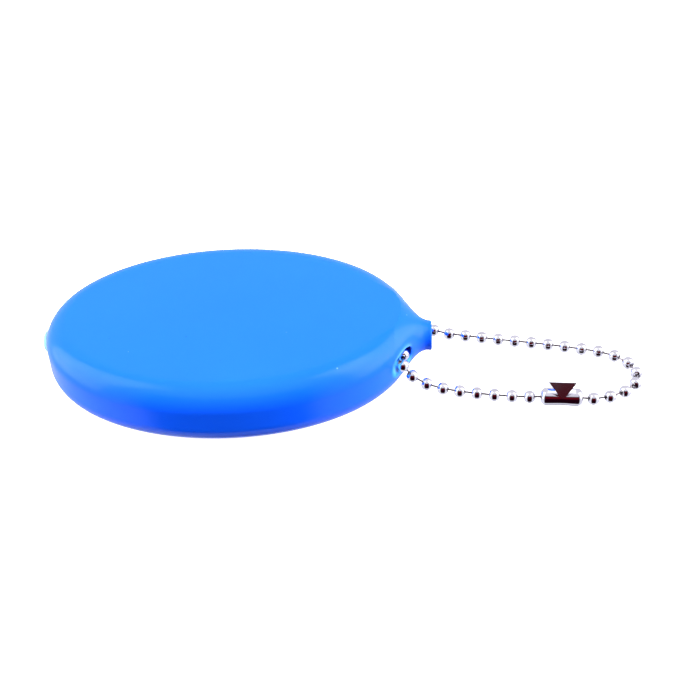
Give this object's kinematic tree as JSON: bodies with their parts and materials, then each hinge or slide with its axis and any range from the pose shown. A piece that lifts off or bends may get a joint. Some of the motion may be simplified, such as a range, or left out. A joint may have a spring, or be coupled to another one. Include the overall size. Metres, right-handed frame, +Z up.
{
  "type": "squeeze coin pouch",
  "caption": "Oval soft vinyl squeeze pouch for tokens and coins, with a lengthwise slit underneath and a bead chain loop through its neck.",
  "frame": {"origin": "centre of the object's bounding box, on the table plane that the slit face rests on", "axes": "+X along the pouch's long axis from the pouch towards the chain, +Y to the far side, +Z up out of the plain back face"},
  "size_m": [0.1153, 0.0502, 0.0124],
  "materials": {
    "vinyl": "glossy soft vinyl, light blue",
    "chain": "bright nickel plate",
    "coupling": "bright nickel plate on rolled sheet"
  },
  "bodies": {
    "pouch": {"pouch_shell": "vinyl"},
    "lip_front": {"lip_front": "vinyl"},
    "lip_back": {"lip_back": "vinyl"},
    "chain_row_01": {"bead_10": "chain", "bead_11": "chain", "bead_12": "chain", "bead_13": "chain", "bead_14": "chain", "bead_15": "chain", "bead_16": "chain"},
    "chain_row_02": {"bead_09": "chain", "bead_17": "chain"},
    "chain_row_03": {"bead_08": "chain", "bead_18": "chain"},
    "chain_row_04": {"bead_07": "chain", "bead_19": "chain"},
    "chain_row_05": {"bead_06": "chain", "bead_20": "chain"},
    "chain_row_06": {"bead_05": "chain", "bead_21": "chain"},
    "chain_row_07": {"bead_04": "chain", "bead_22": "chain"},
    "chain_row_08": {"bead_03": "chain", "bead_23": "chain"},
    "chain_row_09": {"bead_02": "chain", "bead_24": "chain"},
    "chain_row_10": {"bead_01": "chain", "bead_25": "chain", "bead_26": "chain", "bead_36": "chain"},
    "chain_row_11": {"bead_27": "chain", "bead_35": "chain"},
    "chain_row_12": {"bead_28": "chain", "bead_34": "chain"},
    "chain_row_13": {"bead_29": "chain", "bead_33": "chain"},
    "chain_row_14": {"bead_30": "chain", "bead_31": "chain", "bead_32": "chain"},
    "coupling": {"coupling": "coupling"}
  },
  "joints": [
    {"name": "slit_open", "type": "hinge", "parent": "pouch", "child": "lip_front", "pos_m": [-0.0213, -0.0157, 0], "axis": [-1, 0, 0], "range_deg": [0, 35], "stiffness_Nm_per_rad": 0.05},
    {"name": "slit_open_back", "type": "hinge", "parent": "pouch", "child": "lip_back", "pos_m": [-0.0213, 0.0157, 0], "axis": [-1, 0, 0], "range_deg": [-35, 0], "stiffness_Nm_per_rad": 0.05},
    {"name": "loop_swing", "type": "hinge", "parent": "pouch", "child": "chain_row_01", "pos_m": [0.0122, 0, 0.0059], "axis": [0, -1, 0], "range_deg": [-10, 60]},
    {"name": "row_bend_02", "type": "hinge", "parent": "chain_row_01", "child": "chain_row_02", "pos_m": [0.01278, 0.00026, 0.00498], "axis": [-0.0638, -0.9941, 0.0873], "range_deg": [-10, 12]},
    {"name": "row_bend_03", "type": "hinge", "parent": "chain_row_02", "child": "chain_row_03", "pos_m": [0.01468, -0.00017, 0.00259], "axis": [-0.0877, -0.9945, 0.0572], "range_deg": [-10, 12]},
    {"name": "row_bend_04", "type": "hinge", "parent": "chain_row_03", "child": "chain_row_04", "pos_m": [0.01753, -0.00084, 0.00134], "axis": [-0.1078, -0.9942, 0.0004], "range_deg": [-10, 12]},
    {"name": "row_bend_05", "type": "hinge", "parent": "chain_row_04", "child": "chain_row_05", "pos_m": [0.02055, -0.00204, 0.0012], "axis": [-0.1106, -0.9939, 0.0001], "range_deg": [-10, 12]},
    {"name": "row_bend_06", "type": "hinge", "parent": "chain_row_05", "child": "chain_row_06", "pos_m": [0.02371, -0.00286, 0.0012], "axis": [-0.1124, -0.9937, 0], "range_deg": [-10, 12]},
    {"name": "row_bend_07", "type": "hinge", "parent": "chain_row_06", "child": "chain_row_07", "pos_m": [0.02691, -0.00356, 0.0012], "axis": [-0.1123, -0.9937, 0], "range_deg": [-10, 12]},
    {"name": "row_bend_08", "type": "hinge", "parent": "chain_row_07", "child": "chain_row_08", "pos_m": [0.03012, -0.00419, 0.0012], "axis": [-0.1117, -0.9937, 0], "range_deg": [-10, 12]},
    {"name": "row_bend_09", "type": "hinge", "parent": "chain_row_08", "child": "chain_row_09", "pos_m": [0.03334, -0.00474, 0.0012], "axis": [-0.111, -0.9938, 0.0002], "range_deg": [-10, 12]},
    {"name": "row_bend_10", "type": "hinge", "parent": "chain_row_09", "child": "chain_row_10", "pos_m": [0.03656, -0.00528, 0.00125], "axis": [-0.1104, -0.9939, 0.0061], "range_deg": [-10, 12]},
    {"name": "row_bend_11", "type": "hinge", "parent": "chain_row_10", "child": "chain_row_11", "pos_m": [0.04383, -0.00648, 0.00148], "axis": [-0.0042, -0.9994, 0.0354], "range_deg": [-10, 12]},
    {"name": "row_bend_12", "type": "hinge", "parent": "chain_row_11", "child": "chain_row_12", "pos_m": [0.04722, -0.00688, 0.00125], "axis": [0.0252, -0.9997, 0.0071], "range_deg": [-10, 12]},
    {"name": "row_bend_13", "type": "hinge", "parent": "chain_row_12", "child": "chain_row_13", "pos_m": [0.05038, -0.007, 0.0012], "axis": [0.0317, -0.9995, 0.0001], "range_deg": [-10, 12]},
    {"name": "row_bend_14", "type": "hinge", "parent": "chain_row_13", "child": "chain_row_14", "pos_m": [0.05332, -0.00704, 0.0012], "axis": [0.0439, -0.999, 0], "range_deg": [-10, 12]},
    {"name": "coupling_roll", "type": "hinge", "parent": "chain_row_10", "child": "coupling", "pos_m": [0.0415, -0.01436, 0.00177], "axis": [0.9973, -0.0735, -0.0002], "continuous": true}
  ],
  "couplings": [
    {"joint": "slit_open_back", "follows": "slit_open", "ratio": -1}
  ]
}
